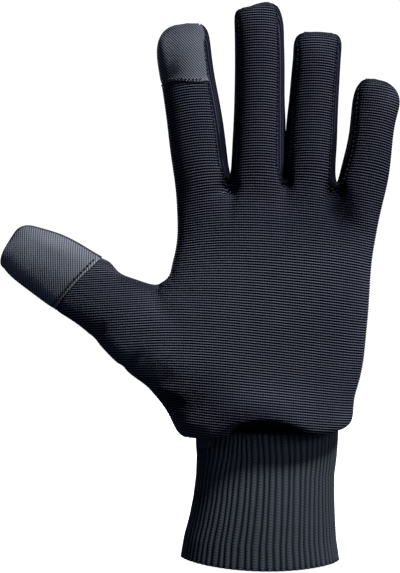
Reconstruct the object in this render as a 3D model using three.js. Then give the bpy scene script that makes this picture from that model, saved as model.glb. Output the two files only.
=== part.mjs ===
// A knitted, cut-resistant glove for the left hand, filled out as it is when worn.
// Millimetres. +Z runs from the wrist to the fingertips, the palm faces -Y and the thumb points to -X.
// The origin is the middle of the wrist opening.
//
// The shell is one outer skin made of grids of four-sided faces: the palm, four fingers and the thumb.
// Each face is marked with the sewn piece that it belongs to. The skin is given its wall inwards and
// then cut along the seams, so that neighbouring pieces meet edge to edge with an even gap.

import * as THREE from 'three';

// Driving dimensions of the fabric and its seams

const shellWall = 1.5;
const cuffWall = 1.6;
const seamGap = 0.3;
const sharpestMitre = 2;

// Columns of faces across each piece

const thumbColumns = 8;
const fingerColumns = 9;
const columnsLostToStrip = 2;
const stripColumns = 4;

// The line where the fingers begin: the outer edges of the hand and the three crotches between fingers

const knuckles = {
  indexEdge: [-37.8, 161.8],
  indexMiddle: [-14.0, 164.0],
  middleRing: [10.1, 165.0],
  ringLittle: [32.8, 164.0],
  littleEdge: [54.3, 163.0],
};
const knuckleDepth = 10.5;

// Half the angle that a side strip takes of a finger's section, at the crotch and near the tip

const stripAngle = { crotch: 42, tip: 27 };
const stripTaperRows = 3;

// Each row of a finger: its left and right edge as x and z, and half its depth

const fingers = {
  index: {
    from: 'indexEdge',
    to: 'indexMiddle',
    leftStrip: null,
    rightStrip: 'fourchette_index_middle',
    patch: { piece: 'index_patch', firstRow: 5 },
    lean: 3,
    tipBow: 0.6,
    rows: [
      { left: [-38.4, 168.9], right: [-14.8, 172.4], depth: 11.2 },
      { left: [-40.0, 180.4], right: [-16.1, 183.4], depth: 11.2 },
      { left: [-41.4, 191.8], right: [-17.6, 195.3], depth: 11.0 },
      { left: [-43.1, 202.2], right: [-19.6, 206.2], depth: 10.6 },
      { left: [-44.2, 209.4], right: [-21.1, 213.6], depth: 10.4 },
      { left: [-45.8, 218.2], right: [-22.2, 221.0], depth: 10.2 },
      { left: [-46.5, 224.9], right: [-22.9, 227.4], depth: 9.6 },
      { left: [-45.4, 230.0], right: [-23.6, 231.9], depth: 8.0 },
      { left: [-42.4, 233.8], right: [-25.2, 235.1], depth: 5.4 },
      { left: [-38.3, 235.9], right: [-27.6, 236.7], depth: 0 },
    ],
  },
  middle: {
    from: 'indexMiddle',
    to: 'middleRing',
    leftStrip: 'fourchette_index_middle',
    rightStrip: 'fourchette_middle_ring',
    patch: null,
    lean: 3.5,
    tipBow: 0.6,
    rows: [
      { left: [-13.6, 171.8], right: [9.7, 172.2], depth: 11.4 },
      { left: [-13.2, 183.4], right: [9.7, 183.9], depth: 11.4 },
      { left: [-12.6, 195.3], right: [9.7, 195.7], depth: 11.2 },
      { left: [-12.2, 207.6], right: [9.7, 208.0], depth: 11.0 },
      { left: [-11.9, 219.1], right: [9.7, 219.5], depth: 10.7 },
      { left: [-11.9, 229.2], right: [9.5, 229.8], depth: 10.0 },
      { left: [-11.9, 235.7], right: [9.2, 237.0], depth: 8.6 },
      { left: [-11.6, 239.9], right: [8.4, 241.6], depth: 6.6 },
      { left: [-10.4, 242.4], right: [7.2, 244.6], depth: 4.6 },
      { left: [-8.0, 243.4], right: [5.2, 246.2], depth: 0 },
    ],
  },
  ring: {
    from: 'middleRing',
    to: 'ringLittle',
    leftStrip: 'fourchette_middle_ring',
    rightStrip: 'fourchette_ring_little',
    patch: null,
    lean: 3.5,
    tipBow: 0.5,
    rows: [
      { left: [10.5, 172.6], right: [31.7, 171.2], depth: 11.0 },
      { left: [10.8, 183.0], right: [32.6, 181.7], depth: 11.0 },
      { left: [11.4, 193.6], right: [32.8, 192.2], depth: 10.8 },
      { left: [12.1, 203.2], right: [33.2, 201.9], depth: 10.6 },
      { left: [12.8, 212.0], right: [33.7, 210.7], depth: 10.3 },
      { left: [13.6, 219.6], right: [34.1, 218.6], depth: 9.8 },
      { left: [14.2, 225.3], right: [34.4, 224.6], depth: 8.6 },
      { left: [14.9, 229.3], right: [34.1, 228.8], depth: 6.8 },
      { left: [16.4, 231.8], right: [33.0, 231.2], depth: 4.4 },
      { left: [18.8, 233.0], right: [31.0, 232.4], depth: 0 },
    ],
  },
  little: {
    from: 'ringLittle',
    to: 'littleEdge',
    leftStrip: 'fourchette_ring_little',
    rightStrip: null,
    patch: null,
    lean: 3,
    tipBow: 0.4,
    rows: [
      { left: [34.4, 171.6], right: [55.8, 169.6], depth: 10.0 },
      { left: [36.4, 180.4], right: [56.8, 178.2], depth: 9.9 },
      { left: [37.8, 187.4], right: [57.4, 185.6], depth: 9.7 },
      { left: [38.7, 194.4], right: [58.4, 193.1], depth: 9.4 },
      { left: [39.4, 200.2], right: [59.7, 199.4], depth: 8.6 },
      { left: [40.1, 204.4], right: [59.6, 203.4], depth: 7.0 },
      { left: [41.4, 208.2], right: [58.4, 206.6], depth: 5.6 },
      { left: [43.3, 210.8], right: [56.2, 209.0], depth: 3.8 },
      { left: [45.3, 212.2], right: [53.2, 210.8], depth: 0 },
    ],
  },
};

// Each row of the thumb, from its root in the palm's edge to its tip: left is its lower edge

const thumb = {
  leftStrip: null,
  rightStrip: null,
  patch: { piece: 'thumb_patch', firstRow: 6 },
  lean: 5,
  tipBow: 1.6,
  rows: [
    { left: [-49.3, 76.5], right: [-45.8, 122.1], depth: 18.0 },
    { left: [-58.1, 84.0], right: [-50.2, 122.7], depth: 17.0 },
    { left: [-66.4, 91.5], right: [-55.2, 124.2], depth: 15.5 },
    { left: [-74.0, 99.2], right: [-60.2, 125.8], depth: 13.8 },
    { left: [-80.5, 104.8], right: [-63.6, 127.6], depth: 12.6 },
    { left: [-86.2, 108.6], right: [-66.2, 130.2], depth: 12.0 },
    { left: [-91.1, 111.7], right: [-69.4, 133.2], depth: 11.5 },
    { left: [-97.2, 116.3], right: [-79.0, 138.7], depth: 11.3 },
    { left: [-102.3, 119.6], right: [-88.6, 143.8], depth: 10.8 },
    { left: [-106.2, 122.4], right: [-96.8, 146.2], depth: 9.8 },
    { left: [-109.2, 124.9], right: [-101.8, 147.8], depth: 8.0 },
    { left: [-111.8, 127.8], right: [-105.1, 147.2], depth: 5.2 },
    { left: [-113.9, 130.9], right: [-107.6, 145.3], depth: 0 },
  ],
};

// Each row of the palm, from the hem up. Beside the thumb the left edge is the thumb's root.
// Front and back are depths, fingers says how far the row takes the form of the four finger bases,
// and hem how far it takes the hem's lift.

const palmRows = [
  { left: [-29.8, 54.6], right: [34.6, 55.2], front: 22.4, back: 22.4, fingers: 0, hem: 1 },
  { left: [-35.4, 55.8], right: [37.0, 57.6], front: 24.0, back: 23.6, fingers: 0, hem: 0.85 },
  { left: [-38.3, 59.3], right: [39.2, 61.6], front: 24.6, back: 24.0, fingers: 0, hem: 0.6 },
  { left: [-41.3, 65.5], right: [39.6, 67.2], front: 23.6, back: 22.6, fingers: 0, hem: 0.35 },
  { left: [-45.3, 71.6], right: [39.9, 72.6], front: 22.2, back: 20.8, fingers: 0, hem: 0.15 },
  { left: 'thumb', right: [41.6, 78.0], front: 21.0, back: 19.6, fingers: 0, hem: 0 },
  { left: 'thumb', right: [43.0, 83.4], front: 20.2, back: 18.8, fingers: 0, hem: 0 },
  { left: 'thumb', right: [44.0, 88.8], front: 19.5, back: 18.0, fingers: 0, hem: 0 },
  { left: 'thumb', right: [44.6, 94.2], front: 19.0, back: 17.4, fingers: 0, hem: 0 },
  { left: 'thumb', right: [45.1, 99.6], front: 18.6, back: 17.0, fingers: 0, hem: 0 },
  { left: 'thumb', right: [45.7, 105.0], front: 18.2, back: 16.6, fingers: 0, hem: 0 },
  { left: 'thumb', right: [46.2, 110.4], front: 17.8, back: 16.3, fingers: 0, hem: 0 },
  { left: 'thumb', right: [46.6, 115.8], front: 17.4, back: 16.0, fingers: 0, hem: 0 },
  { left: 'thumb', right: [46.9, 121.2], front: 17.0, back: 15.7, fingers: 0, hem: 0 },
  { left: [-41.6, 126.0], right: [47.3, 128.0], front: 16.4, back: 15.3, fingers: 0, hem: 0 },
  { left: [-38.2, 134.6], right: [48.0, 135.2], front: 15.6, back: 14.8, fingers: 0, hem: 0 },
  { left: [-37.0, 143.4], right: [49.4, 143.2], front: 14.8, back: 14.2, fingers: 0.1, hem: 0 },
  { left: [-37.2, 151.0], right: [50.9, 150.8], front: 14.0, back: 13.4, fingers: 0.3, hem: 0 },
  { left: [-37.5, 157.0], right: [52.7, 157.4], front: 13.0, back: 12.6, fingers: 0.65, hem: 0 },
];

// How square a section is: 1 is an ellipse and less is squarer

const palmRoundness = 0.7;
const wristRoundness = 0.85;
const wristRows = 4;

// The hem's front edge is drawn up from the cuff and stands away from it: lift by place across the palm

const hemLift = [
  { across: 0, lift: 0 },
  { across: 0.2, lift: 0.5 },
  { across: 0.36, lift: 6 },
  { across: 0.65, lift: 3.6 },
  { across: 0.95, lift: 0.4 },
  { across: 1, lift: 0 },
];
const hemStandOff = 0.5;

// Each row of the ribbed cuff, from its hem up into the shell

const cuffRows = [
  { z: 0, left: -35.8, right: 33.9, depth: 22.4 },
  { z: 10, left: -34.5, right: 32.4, depth: 22.0 },
  { z: 19, left: -32.7, right: 31.8, depth: 21.5 },
  { z: 28, left: -30.8, right: 31.4, depth: 21.0 },
  { z: 38, left: -29.2, right: 31.4, depth: 20.6 },
  { z: 47, left: -28.7, right: 32.2, depth: 20.5 },
  { z: 55, left: -28.8, right: 33.0, depth: 20.6 },
  { z: 63, left: -27.6, right: 32.0, depth: 19.8 },
];
const cuffWaistRow = 4;
const cuffRibs = 54;
const cuffRelief = 0.8;

// The cuff's hem is higher at its sides than in front, and higher at the thumb's side

const cuffHem = { rise: 3.05, tilt: 2.65, dip: 3.35, fadesAt: 47 };

// Colours of the pieces

const finishes = {
  shell: { color: 0x14161f, roughness: 0.85, metalness: 0 },
  strip: { color: 0x1b1f2c, roughness: 0.8, metalness: 0 },
  patch: { color: 0x4a4f57, roughness: 0.55, metalness: 0 },
  cuff: { color: 0x1a1d26, roughness: 0.9, metalness: 0 },
};

// Small helpers

const lerp = THREE.MathUtils.lerp;
const radians = THREE.MathUtils.degToRad;

// Reads a short table whose rows are sorted by one column, with straight lines between its rows
function readTable(table, key, column, place) {
  const after = table.findIndex((row) => row[key] >= place);
  if (after <= 0) return table[0][column];
  const from = table[after - 1];
  const to = table[after];
  return lerp(from[column], to[column], (place - from[key]) / (to[key] - from[key]));
}

// Outer skin made of marked faces

class Skin {
  constructor() {
    this.points = [];
    this.faces = [];
    this.known = new Map();
  }

  // Points at the same place are one point, so that neighbouring grids share their common edge
  indexOf(point) {
    const key = point.toArray().map((value) => Math.round(value * 1000)).join(' ');
    if (!this.known.has(key)) {
      this.known.set(key, this.points.length);
      this.points.push(point);
    }
    return this.known.get(key);
  }

  // A face whose neighbouring corners fall together loses the extra corner
  addFace(piece, corners) {
    const all = corners.map((corner) => this.indexOf(corner));
    const loop = all.filter((index, place) => index !== all[(place + 1) % all.length]);
    if (loop.length > 2) this.faces.push({ piece, loop });
  }

  // Rows of equally many points become faces that look to the left of the way up the rows
  addGrid(rows, pieceAt) {
    for (let row = 0; row + 1 < rows.length; row += 1) {
      for (let column = 0; column + 1 < rows[row].length; column += 1) {
        this.addFace(pieceAt(row, column), [
          rows[row][column],
          rows[row][column + 1],
          rows[row + 1][column + 1],
          rows[row + 1][column],
        ]);
      }
    }
  }

  faceNormal(face) {
    const normal = new THREE.Vector3();
    const first = this.points[face.loop[0]];
    for (let place = 1; place + 1 < face.loop.length; place += 1) {
      const one = this.points[face.loop[place]].clone().sub(first);
      const two = this.points[face.loop[place + 1]].clone().sub(first);
      normal.add(one.cross(two));
    }
    return normal;
  }

  pointNormals() {
    const normals = this.points.map(() => new THREE.Vector3());
    for (const face of this.faces) {
      const normal = this.faceNormal(face);
      for (const index of face.loop) normals[index].add(normal);
    }
    return normals.map((normal) => normal.normalize());
  }
}

function edgesOf(face) {
  return face.loop.map((start, place) => [start, face.loop[(place + 1) % face.loop.length]]);
}

const edgeKey = (start, end) => `${start} ${end}`;

// How far each point on a piece's seams moves into the piece to leave half of the gap
function seamShifts(skin, faces) {
  const own = new Set(faces.flatMap(edgesOf).map(([start, end]) => edgeKey(start, end)));
  const sewn = new Set(skin.faces.flatMap(edgesOf).map(([start, end]) => edgeKey(start, end)));
  const inwards = new Map();
  for (const face of faces) {
    const normal = skin.faceNormal(face);
    for (const [start, end] of edgesOf(face)) {
      const across = edgeKey(end, start);
      if (own.has(across) || !sewn.has(across)) continue;
      const along = skin.points[end].clone().sub(skin.points[start]);
      const inward = normal.clone().cross(along).normalize();
      for (const index of [start, end]) {
        if (!inwards.has(index)) inwards.set(index, []);
        inwards.get(index).push(inward);
      }
    }
  }
  const shifts = new Map();
  for (const [index, directions] of inwards) {
    const direction = new THREE.Vector3();
    for (const inward of directions) direction.add(inward);
    direction.normalize();
    const mitre = 1 / Math.max(direction.dot(directions[0]), 1 / sharpestMitre);
    shifts.set(index, direction.multiplyScalar((mitre * seamGap) / 2));
  }
  return shifts;
}

// Cuts one piece out of the skin and gives it its wall: an outer side, an inner side and closed edges
function sewnPiece(skin, normals, piece, wall) {
  const faces = skin.faces.filter((face) => face.piece === piece);
  const own = new Set(faces.flatMap(edgesOf).map(([start, end]) => edgeKey(start, end)));
  const shifts = seamShifts(skin, faces);
  const places = new Map();
  const positions = [];
  const triangles = [];

  const placeOf = (index) => {
    if (!places.has(index)) {
      places.set(index, positions.length / 3);
      const outer = skin.points[index].clone().add(shifts.get(index) ?? new THREE.Vector3());
      const inner = outer.clone().addScaledVector(normals[index], -wall);
      positions.push(...outer.toArray(), ...inner.toArray());
    }
    return places.get(index);
  };
  const outside = (index) => placeOf(index);
  const inside = (index) => placeOf(index) + 1;

  const addTriangle = (a, b, c) => {
    triangles.push(outside(a), outside(b), outside(c));
    triangles.push(inside(a), inside(c), inside(b));
  };

  for (const { loop } of faces) {
    if (loop.length === 3) {
      addTriangle(...loop);
      continue;
    }
    const [a, b, c, d] = loop;
    const spread = (start, end) => skin.points[start].distanceTo(skin.points[end]);
    if (spread(a, c) < spread(b, d)) {
      addTriangle(a, b, c);
      addTriangle(a, c, d);
    } else {
      addTriangle(a, b, d);
      addTriangle(b, c, d);
    }
  }
  // Both pieces at a seam split the edge between them along the same diagonal, so that it fits
  for (const face of faces) {
    for (const [start, end] of edgesOf(face)) {
      if (own.has(edgeKey(end, start))) continue;
      if (start < end) {
        triangles.push(outside(start), inside(start), inside(end));
        triangles.push(outside(start), inside(end), outside(end));
      } else {
        triangles.push(outside(start), inside(start), outside(end));
        triangles.push(outside(end), inside(start), inside(end));
      }
    }
  }

  const geometry = new THREE.BufferGeometry();
  geometry.setAttribute('position', new THREE.Float32BufferAttribute(positions, 3));
  geometry.setIndex(triangles);
  return geometry;
}

// Fingers and thumb

// The runs of columns round a finger: the angle is 180 at its left edge, 90 in front and 0 at its right
function runsAround(finger, columns, strip) {
  const left = finger.leftStrip ? 180 - strip : 180;
  const right = finger.rightStrip ? strip : 0;
  const runs = [{ piece: 'palm_panel', from: left, to: right, columns }];
  if (finger.rightStrip) {
    runs.push({ piece: finger.rightStrip, from: strip, to: -strip, columns: stripColumns });
  }
  runs.push({ piece: 'back_panel', from: -right, to: -left, columns });
  if (finger.leftStrip) {
    runs.push({ piece: finger.leftStrip, from: -left, to: left - 360, columns: stripColumns });
  }
  return runs;
}

// The angle of each point round the ring, in which the last point is the first again
function anglesAround(runs) {
  const angles = [runs[0].from];
  for (const { from, to, columns } of runs) {
    for (let column = 1; column <= columns; column += 1) {
      angles.push(lerp(from, to, column / columns));
    }
  }
  return angles;
}

const piecesAround = (runs) => runs.flatMap(({ piece, columns }) => Array(columns).fill(piece));

const closed = (ring) => [...ring.slice(0, -1), ring[0]];

function columnsInFront(finger) {
  const strips = [finger.leftStrip, finger.rightStrip].filter(Boolean).length;
  return fingerColumns - columnsLostToStrip * strips;
}

// One elliptical section through a finger, across the line from its left to its right edge
function sectionRing(row, angles, leanY, bow) {
  const [leftX, leftZ] = row.left;
  const [rightX, rightZ] = row.right;
  const half = new THREE.Vector3((rightX - leftX) / 2, 0, (rightZ - leftZ) / 2);
  const middle = new THREE.Vector3((rightX + leftX) / 2, leanY, (rightZ + leftZ) / 2);
  const axis = new THREE.Vector3(-half.z, 0, half.x).normalize();
  return angles.map((angle) => {
    const cosine = Math.cos(radians(angle));
    const sine = Math.sin(radians(angle));
    return middle.clone()
      .addScaledVector(half, cosine)
      .addScaledVector(axis, bow * sine * sine)
      .add(new THREE.Vector3(0, -row.depth * sine, 0));
  });
}

// The section where a finger leaves the palm: its side strips lie in the crotches
function knuckleRing(finger, angles) {
  const [leftX, leftZ] = knuckles[finger.from];
  const [rightX, rightZ] = knuckles[finger.to];
  const crotch = Math.cos(radians(stripAngle.crotch));
  const leftCosine = finger.leftStrip ? -crotch : -1;
  const rightCosine = finger.rightStrip ? crotch : 1;
  return angles.map((angle) => {
    const share = (Math.cos(radians(angle)) - leftCosine) / (rightCosine - leftCosine);
    const across = THREE.MathUtils.clamp(share, 0, 1);
    const depth = -knuckleDepth * Math.sin(radians(angle));
    return new THREE.Vector3(lerp(leftX, rightX, across), depth, lerp(leftZ, rightZ, across));
  });
}

// The strips grow narrower along the finger and run out in a point at its tip
function stripAngleAt(row, lastRow) {
  const taper = Math.min(1, (lastRow - row) / stripTaperRows);
  return lerp(stripAngle.crotch, stripAngle.tip, row / lastRow) * taper;
}

// The touch patch takes the front from its first row to the tip and one column round the left edge
function withPatch(finger, pieces) {
  return (row, column) => {
    const { patch } = finger;
    const inPatch = patch && row >= patch.firstRow;
    if (inPatch && (pieces[column] === 'palm_panel' || column === pieces.length - 1)) {
      return patch.piece;
    }
    return pieces[column];
  };
}

function addFinger(skin, finger) {
  const columns = columnsInFront(finger);
  const lastRow = finger.rows.length;
  const rings = [];
  for (let row = 0; row <= lastRow; row += 1) {
    const angles = anglesAround(runsAround(finger, columns, stripAngleAt(row, lastRow)));
    const leanY = -finger.lean * (row / lastRow) ** 2;
    const bow = row === lastRow ? finger.tipBow : 0;
    const section = finger.rows[row - 1];
    const ring = section ? sectionRing(section, angles, leanY, bow) : knuckleRing(finger, angles);
    rings.push(closed(ring));
  }
  const pieces = piecesAround(runsAround(finger, columns, stripAngle.crotch));
  skin.addGrid(rings, withPatch(finger, pieces));
}

function thumbRing(row) {
  const lastRow = thumb.rows.length - 1;
  const angles = anglesAround(runsAround(thumb, thumbColumns, 0));
  const leanY = -thumb.lean * (row / lastRow) ** 2;
  return sectionRing(thumb.rows[row], angles, leanY, row === lastRow ? thumb.tipBow : 0);
}

function addThumb(skin) {
  const rings = thumb.rows.map((_, row) => closed(thumbRing(row)));
  const pieces = piecesAround(runsAround(thumb, thumbColumns, 0));
  skin.addGrid(rings, withPatch(thumb, pieces));
}

// Palm

// The points of one side of the line where the fingers begin, from the index finger's edge
function knuckleLine(side) {
  const points = [];
  for (const finger of Object.values(fingers)) {
    const runs = runsAround(finger, columnsInFront(finger), stripAngle.crotch);
    const ring = knuckleRing(finger, anglesAround([runs[0]]));
    points.push(...ring.slice(points.length ? 1 : 0));
  }
  return points.map((point) => new THREE.Vector3(point.x, point.y * side, point.z));
}

// One row of the front (side 1) or back (side -1) of the palm, from its left to its right edge
function palmSide(row, rowNumber, side, root, line) {
  const columns = line.length - 1;
  const [leftX, leftZ] = root ? [root.x, root.z] : row.left;
  const [rightX, rightZ] = row.right;
  const rootDepth = root ? Math.abs(root.y) : 0;
  const depth = side > 0 ? row.front : row.back;
  const roundness = lerp(wristRoundness, palmRoundness, Math.min(1, rowNumber / wristRows));
  const lineWidth = line[columns].x - line[0].x;
  return line.map((knuckle, column) => {
    const turn = (Math.PI * column) / columns;
    const cosine = Math.sign(Math.cos(turn)) * Math.abs(Math.cos(turn)) ** roundness;
    const swell = Math.sin(turn) ** roundness;
    const onLeft = column * 2 < columns;
    const rounded = (1 - cosine) / 2;
    const open = onLeft ? rootDepth / depth : 0;
    const spread = lerp(rounded, column / columns, open);
    const across = lerp(spread, (knuckle.x - line[0].x) / lineWidth, row.fingers);
    const edgeDepth = onLeft ? rootDepth : 0;
    const palmDepth = edgeDepth + (depth - edgeDepth) * swell;
    const lift = side > 0 ? row.hem * readTable(hemLift, 'across', 'lift', across) : 0;
    return new THREE.Vector3(
      lerp(leftX, rightX, across),
      -side * (lerp(palmDepth, Math.abs(knuckle.y), row.fingers) + lift * hemStandOff),
      lerp(leftZ, rightZ, across) + lift,
    );
  });
}

// The root's front and back points for each row beside the thumb, from its lower to its upper edge
function rootPoints(side) {
  const ring = thumbRing(0);
  const front = ring.slice(0, thumbColumns + 1);
  const back = ring.slice(thumbColumns).reverse();
  return side > 0 ? front : back;
}

function addPalm(skin) {
  for (const side of [1, -1]) {
    const line = knuckleLine(side);
    const roots = rootPoints(side);
    const firstRoot = palmRows.findIndex((row) => row.left === 'thumb');
    const rows = palmRows.map((row, rowNumber) => {
      const root = row.left === 'thumb' ? roots[rowNumber - firstRoot] : null;
      return palmSide(row, rowNumber, side, root, line);
    });
    rows.push(line);
    const piece = side > 0 ? 'palm_panel' : 'back_panel';
    skin.addGrid(side > 0 ? rows : rows.map((row) => [...row].reverse()), () => piece);
  }
}

// Cuff

// Turns round an ellipse that are evenly spaced along its edge, measured in small steps
const turnSteps = 720;

function evenTurns(count, halfWidth, halfDepth) {
  const lengths = [0];
  for (let step = 0; step < turnSteps; step += 1) {
    const turn = (2 * Math.PI * (step + 0.5)) / turnSteps;
    const speed = Math.hypot(halfWidth * Math.sin(turn), halfDepth * Math.cos(turn));
    lengths.push(lengths[step] + speed);
  }
  return Array.from({ length: count }, (_, place) => {
    const target = (lengths[turnSteps] * place) / count;
    const step = lengths.findIndex((length) => length > target) - 1;
    const part = (target - lengths[step]) / (lengths[step + 1] - lengths[step]);
    return (2 * Math.PI * (step + part)) / turnSteps;
  });
}

function addCuff(skin) {
  const waist = cuffRows[cuffWaistRow];
  const turns = evenTurns(2 * cuffRibs, (waist.right - waist.left) / 2, waist.depth);
  const rings = cuffRows.map((row) => {
    const halfWidth = (row.right - row.left) / 2;
    const fade = Math.max(0, 1 - row.z / cuffHem.fadesAt);
    const ring = turns.map((turn, place) => {
      const cosine = -Math.cos(turn);
      const sine = Math.sin(turn);
      const relief = (place % 2 ? -cuffRelief : cuffRelief) / 2;
      const square = (value) => Math.sign(value) * Math.abs(value) ** wristRoundness;
      const hem = cuffHem.rise - cuffHem.tilt * cosine - cuffHem.dip * sine * sine;
      return new THREE.Vector3(
        (row.left + row.right) / 2 + (halfWidth + relief) * square(cosine),
        -(row.depth + relief) * square(sine),
        row.z + fade * hem,
      );
    });
    return [...ring, ring[0]];
  });
  skin.addGrid(rings, () => 'cuff');
}

// The glove

const shell = new Skin();
addPalm(shell);
for (const finger of Object.values(fingers)) addFinger(shell, finger);
addThumb(shell);

const wrist = new Skin();
addCuff(wrist);

const sewnPieces = [
  { name: 'palm_panel', skin: shell, wall: shellWall, finish: finishes.shell },
  { name: 'back_panel', skin: shell, wall: shellWall, finish: finishes.shell },
  { name: 'fourchette_index_middle', skin: shell, wall: shellWall, finish: finishes.strip },
  { name: 'fourchette_middle_ring', skin: shell, wall: shellWall, finish: finishes.strip },
  { name: 'fourchette_ring_little', skin: shell, wall: shellWall, finish: finishes.strip },
  { name: 'index_patch', skin: shell, wall: shellWall, finish: finishes.patch },
  { name: 'thumb_patch', skin: shell, wall: shellWall, finish: finishes.patch },
  { name: 'cuff', skin: wrist, wall: cuffWall, finish: finishes.cuff },
];

const glove = new THREE.Group();
for (const { name, skin, wall, finish } of sewnPieces) {
  const geometry = sewnPiece(skin, skin.pointNormals(), name, wall);
  const mesh = new THREE.Mesh(geometry, new THREE.MeshStandardMaterial(finish));
  mesh.name = name;
  glove.add(mesh);
}

export default glove;
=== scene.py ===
import math

import bmesh
import bpy
import numpy as np
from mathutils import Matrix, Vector
from mathutils.bvhtree import BVHTree
from mathutils.kdtree import KDTree


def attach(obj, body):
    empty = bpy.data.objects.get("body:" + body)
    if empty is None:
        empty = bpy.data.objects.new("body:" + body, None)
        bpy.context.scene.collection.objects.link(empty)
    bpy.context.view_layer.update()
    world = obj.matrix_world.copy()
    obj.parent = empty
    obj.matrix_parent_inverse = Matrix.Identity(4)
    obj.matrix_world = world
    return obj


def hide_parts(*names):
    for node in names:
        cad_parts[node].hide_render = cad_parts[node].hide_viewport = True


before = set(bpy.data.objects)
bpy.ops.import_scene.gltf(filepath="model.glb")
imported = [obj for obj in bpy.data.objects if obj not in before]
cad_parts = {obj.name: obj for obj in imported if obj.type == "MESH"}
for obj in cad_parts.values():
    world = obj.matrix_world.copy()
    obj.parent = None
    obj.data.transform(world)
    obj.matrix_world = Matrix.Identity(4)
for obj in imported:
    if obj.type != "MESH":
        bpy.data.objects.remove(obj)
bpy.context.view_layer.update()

# The sewn shell
#
# Seven pieces of stretch fabric are sewn edge to edge into the form of a hand: the palm, the back, three
# side strips between the fingers and two touch patches. The skin is taken from the frame's outer faces,
# joined over the seams and smoothed as one sheet, and each piece is cut out of it again further down.
# Sizes are in millimetres until a mesh is made.

MM = 0.001
SHELL_NODES = (
    "palm_panel",
    "back_panel",
    "fourchette_index_middle",
    "fourchette_middle_ring",
    "fourchette_ring_little",
    "index_patch",
    "thumb_patch",
)
STRIP_NODES = tuple(node for node in SHELL_NODES if node.startswith("fourchette"))
SHARPEST_FOLD = math.radians(42)
SHARPEST_STRIP_FOLD = math.radians(55)
SAME_CORNER = 0.01
SEAM_REACH = 0.75
JOINED_TRIANGLES = {"angle_face_threshold": math.radians(50), "angle_shape_threshold": math.radians(60)}
SKIN_LEVELS = 2
FILL_OUT = 0.42

# Middle lines of the fingers and the thumb: x and z from root to tip
BONES = {
    "index": ((-26.5, 160.0), (-28.5, 185.0), (-33.5, 225.0)),
    "middle": ((-2.0, 160.0), (-1.6, 200.0), (-1.2, 235.0)),
    "ring": ((21.3, 160.0), (22.5, 195.0), (24.2, 222.0)),
    "little": ((43.5, 160.0), (48.0, 190.0), (49.7, 201.0)),
    "thumb": ((-40.0, 105.0), (-60.0, 108.0), (-78.0, 119.0), (-101.0, 134.0)),
}

# Middle plane of the palm: z, left edge and right edge
PALM_PLANE = (
    (50.0, -20.0, 24.0),
    (62.0, -30.0, 29.0),
    (80.0, -34.0, 33.0),
    (105.0, -38.0, 35.0),
    (125.0, -30.0, 36.0),
    (145.0, -27.0, 40.0),
    (160.0, -27.0, 43.5),
)


def tree_of(places):
    """A tree that finds the nearest of some places."""
    tree = KDTree(len(places))
    for index, place in enumerate(places):
        tree.insert(place, index)
    tree.balance()
    return tree


def middle_of_hand():
    """Points inside the hand, about a millimetre apart, that every outer face looks away from."""
    places = []
    for line in BONES.values():
        for start, end in zip(line, line[1:]):
            for share in np.linspace(0, 1, 2 + round(math.dist(start, end))):
                places.append(np.array(start) * (1 - share) + np.array(end) * share)
    heights, lefts, rights = np.array(PALM_PLANE).T
    for z in np.arange(heights[0], heights[-1]):
        left, right = np.interp(z, heights, lefts), np.interp(z, heights, rights)
        places += [(x, z) for x in np.arange(left, right)]
    return tree_of([(x, 0, z) for x, z in places])


def outer_faces(sheet, middle, two_sided, sharpest):
    """Faces on a walled piece's outside, reached from its best placed face without a sharp turn."""

    def outwardness(face):
        centre = face.calc_center_median()
        return (centre - middle.find(centre)[0]).normalized().dot(face.normal) * face.calc_area()

    sides = [sheet.faces]
    if two_sided:
        sides = [[face for face in sheet.faces if face.normal.x * sign > 0] for sign in (1, -1)]
    found = {max(side, key=outwardness) for side in sides}
    ahead = list(found)
    while ahead:
        for edge in ahead.pop().edges:
            if edge.calc_face_angle(0) > sharpest:
                continue
            for face in edge.link_faces:
                if face not in found:
                    found.add(face)
                    ahead.append(face)
    return [face for face in sheet.faces if face in found]


def add_object(name, data):
    added = bpy.data.objects.new(name, data)
    bpy.context.scene.collection.objects.link(added)
    return added


def joined_skin():
    """The outside of all shell nodes as one smooth sheet; a face's material index is its piece."""
    middle = middle_of_hand()
    skin = bmesh.new()
    for number, name in enumerate(SHELL_NODES):
        sheet = bmesh.new()
        sheet.from_mesh(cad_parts[name].data)
        bmesh.ops.scale(sheet, vec=(1 / MM,) * 3, verts=sheet.verts)
        bmesh.ops.remove_doubles(sheet, verts=sheet.verts, dist=SAME_CORNER)
        sheet.normal_update()
        strip = name in STRIP_NODES
        copies = {}
        for face in outer_faces(sheet, middle, strip, SHARPEST_STRIP_FOLD if strip else SHARPEST_FOLD):
            for corner in face.verts:
                if corner not in copies:
                    copies[corner] = skin.verts.new(corner.co)
            skin.faces.new([copies[corner] for corner in face.verts]).material_index = number
        sheet.free()
    # The border's corners stay in the skin's own order, so that every run joins the same ones
    border = [corner for corner in skin.verts if any(edge.is_boundary for edge in corner.link_edges)]
    bmesh.ops.remove_doubles(skin, verts=border, dist=SEAM_REACH)
    for number in range(len(SHELL_NODES)):
        faces = [face for face in skin.faces if face.material_index == number]
        bmesh.ops.join_triangles(skin, faces=faces, **JOINED_TRIANGLES)
    mesh = bpy.data.meshes.new("skin")
    skin.to_mesh(mesh)
    skin.free()
    sheet = add_object("skin", mesh)
    smoother = sheet.modifiers.new("smooth", "SUBSURF")
    smoother.levels = smoother.render_levels = SKIN_LEVELS
    smooth = bpy.data.meshes.new_from_object(sheet.evaluated_get(bpy.context.evaluated_depsgraph_get()))
    bpy.data.objects.remove(sheet)
    bpy.data.meshes.remove(mesh)
    return smooth


def read_corners(mesh, what):
    """The places ("co") or the normals ("normal") of a mesh's corners."""
    values = np.empty(len(mesh.vertices) * 3)
    mesh.vertices.foreach_get(what, values)
    return values.reshape(-1, 3)


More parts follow.
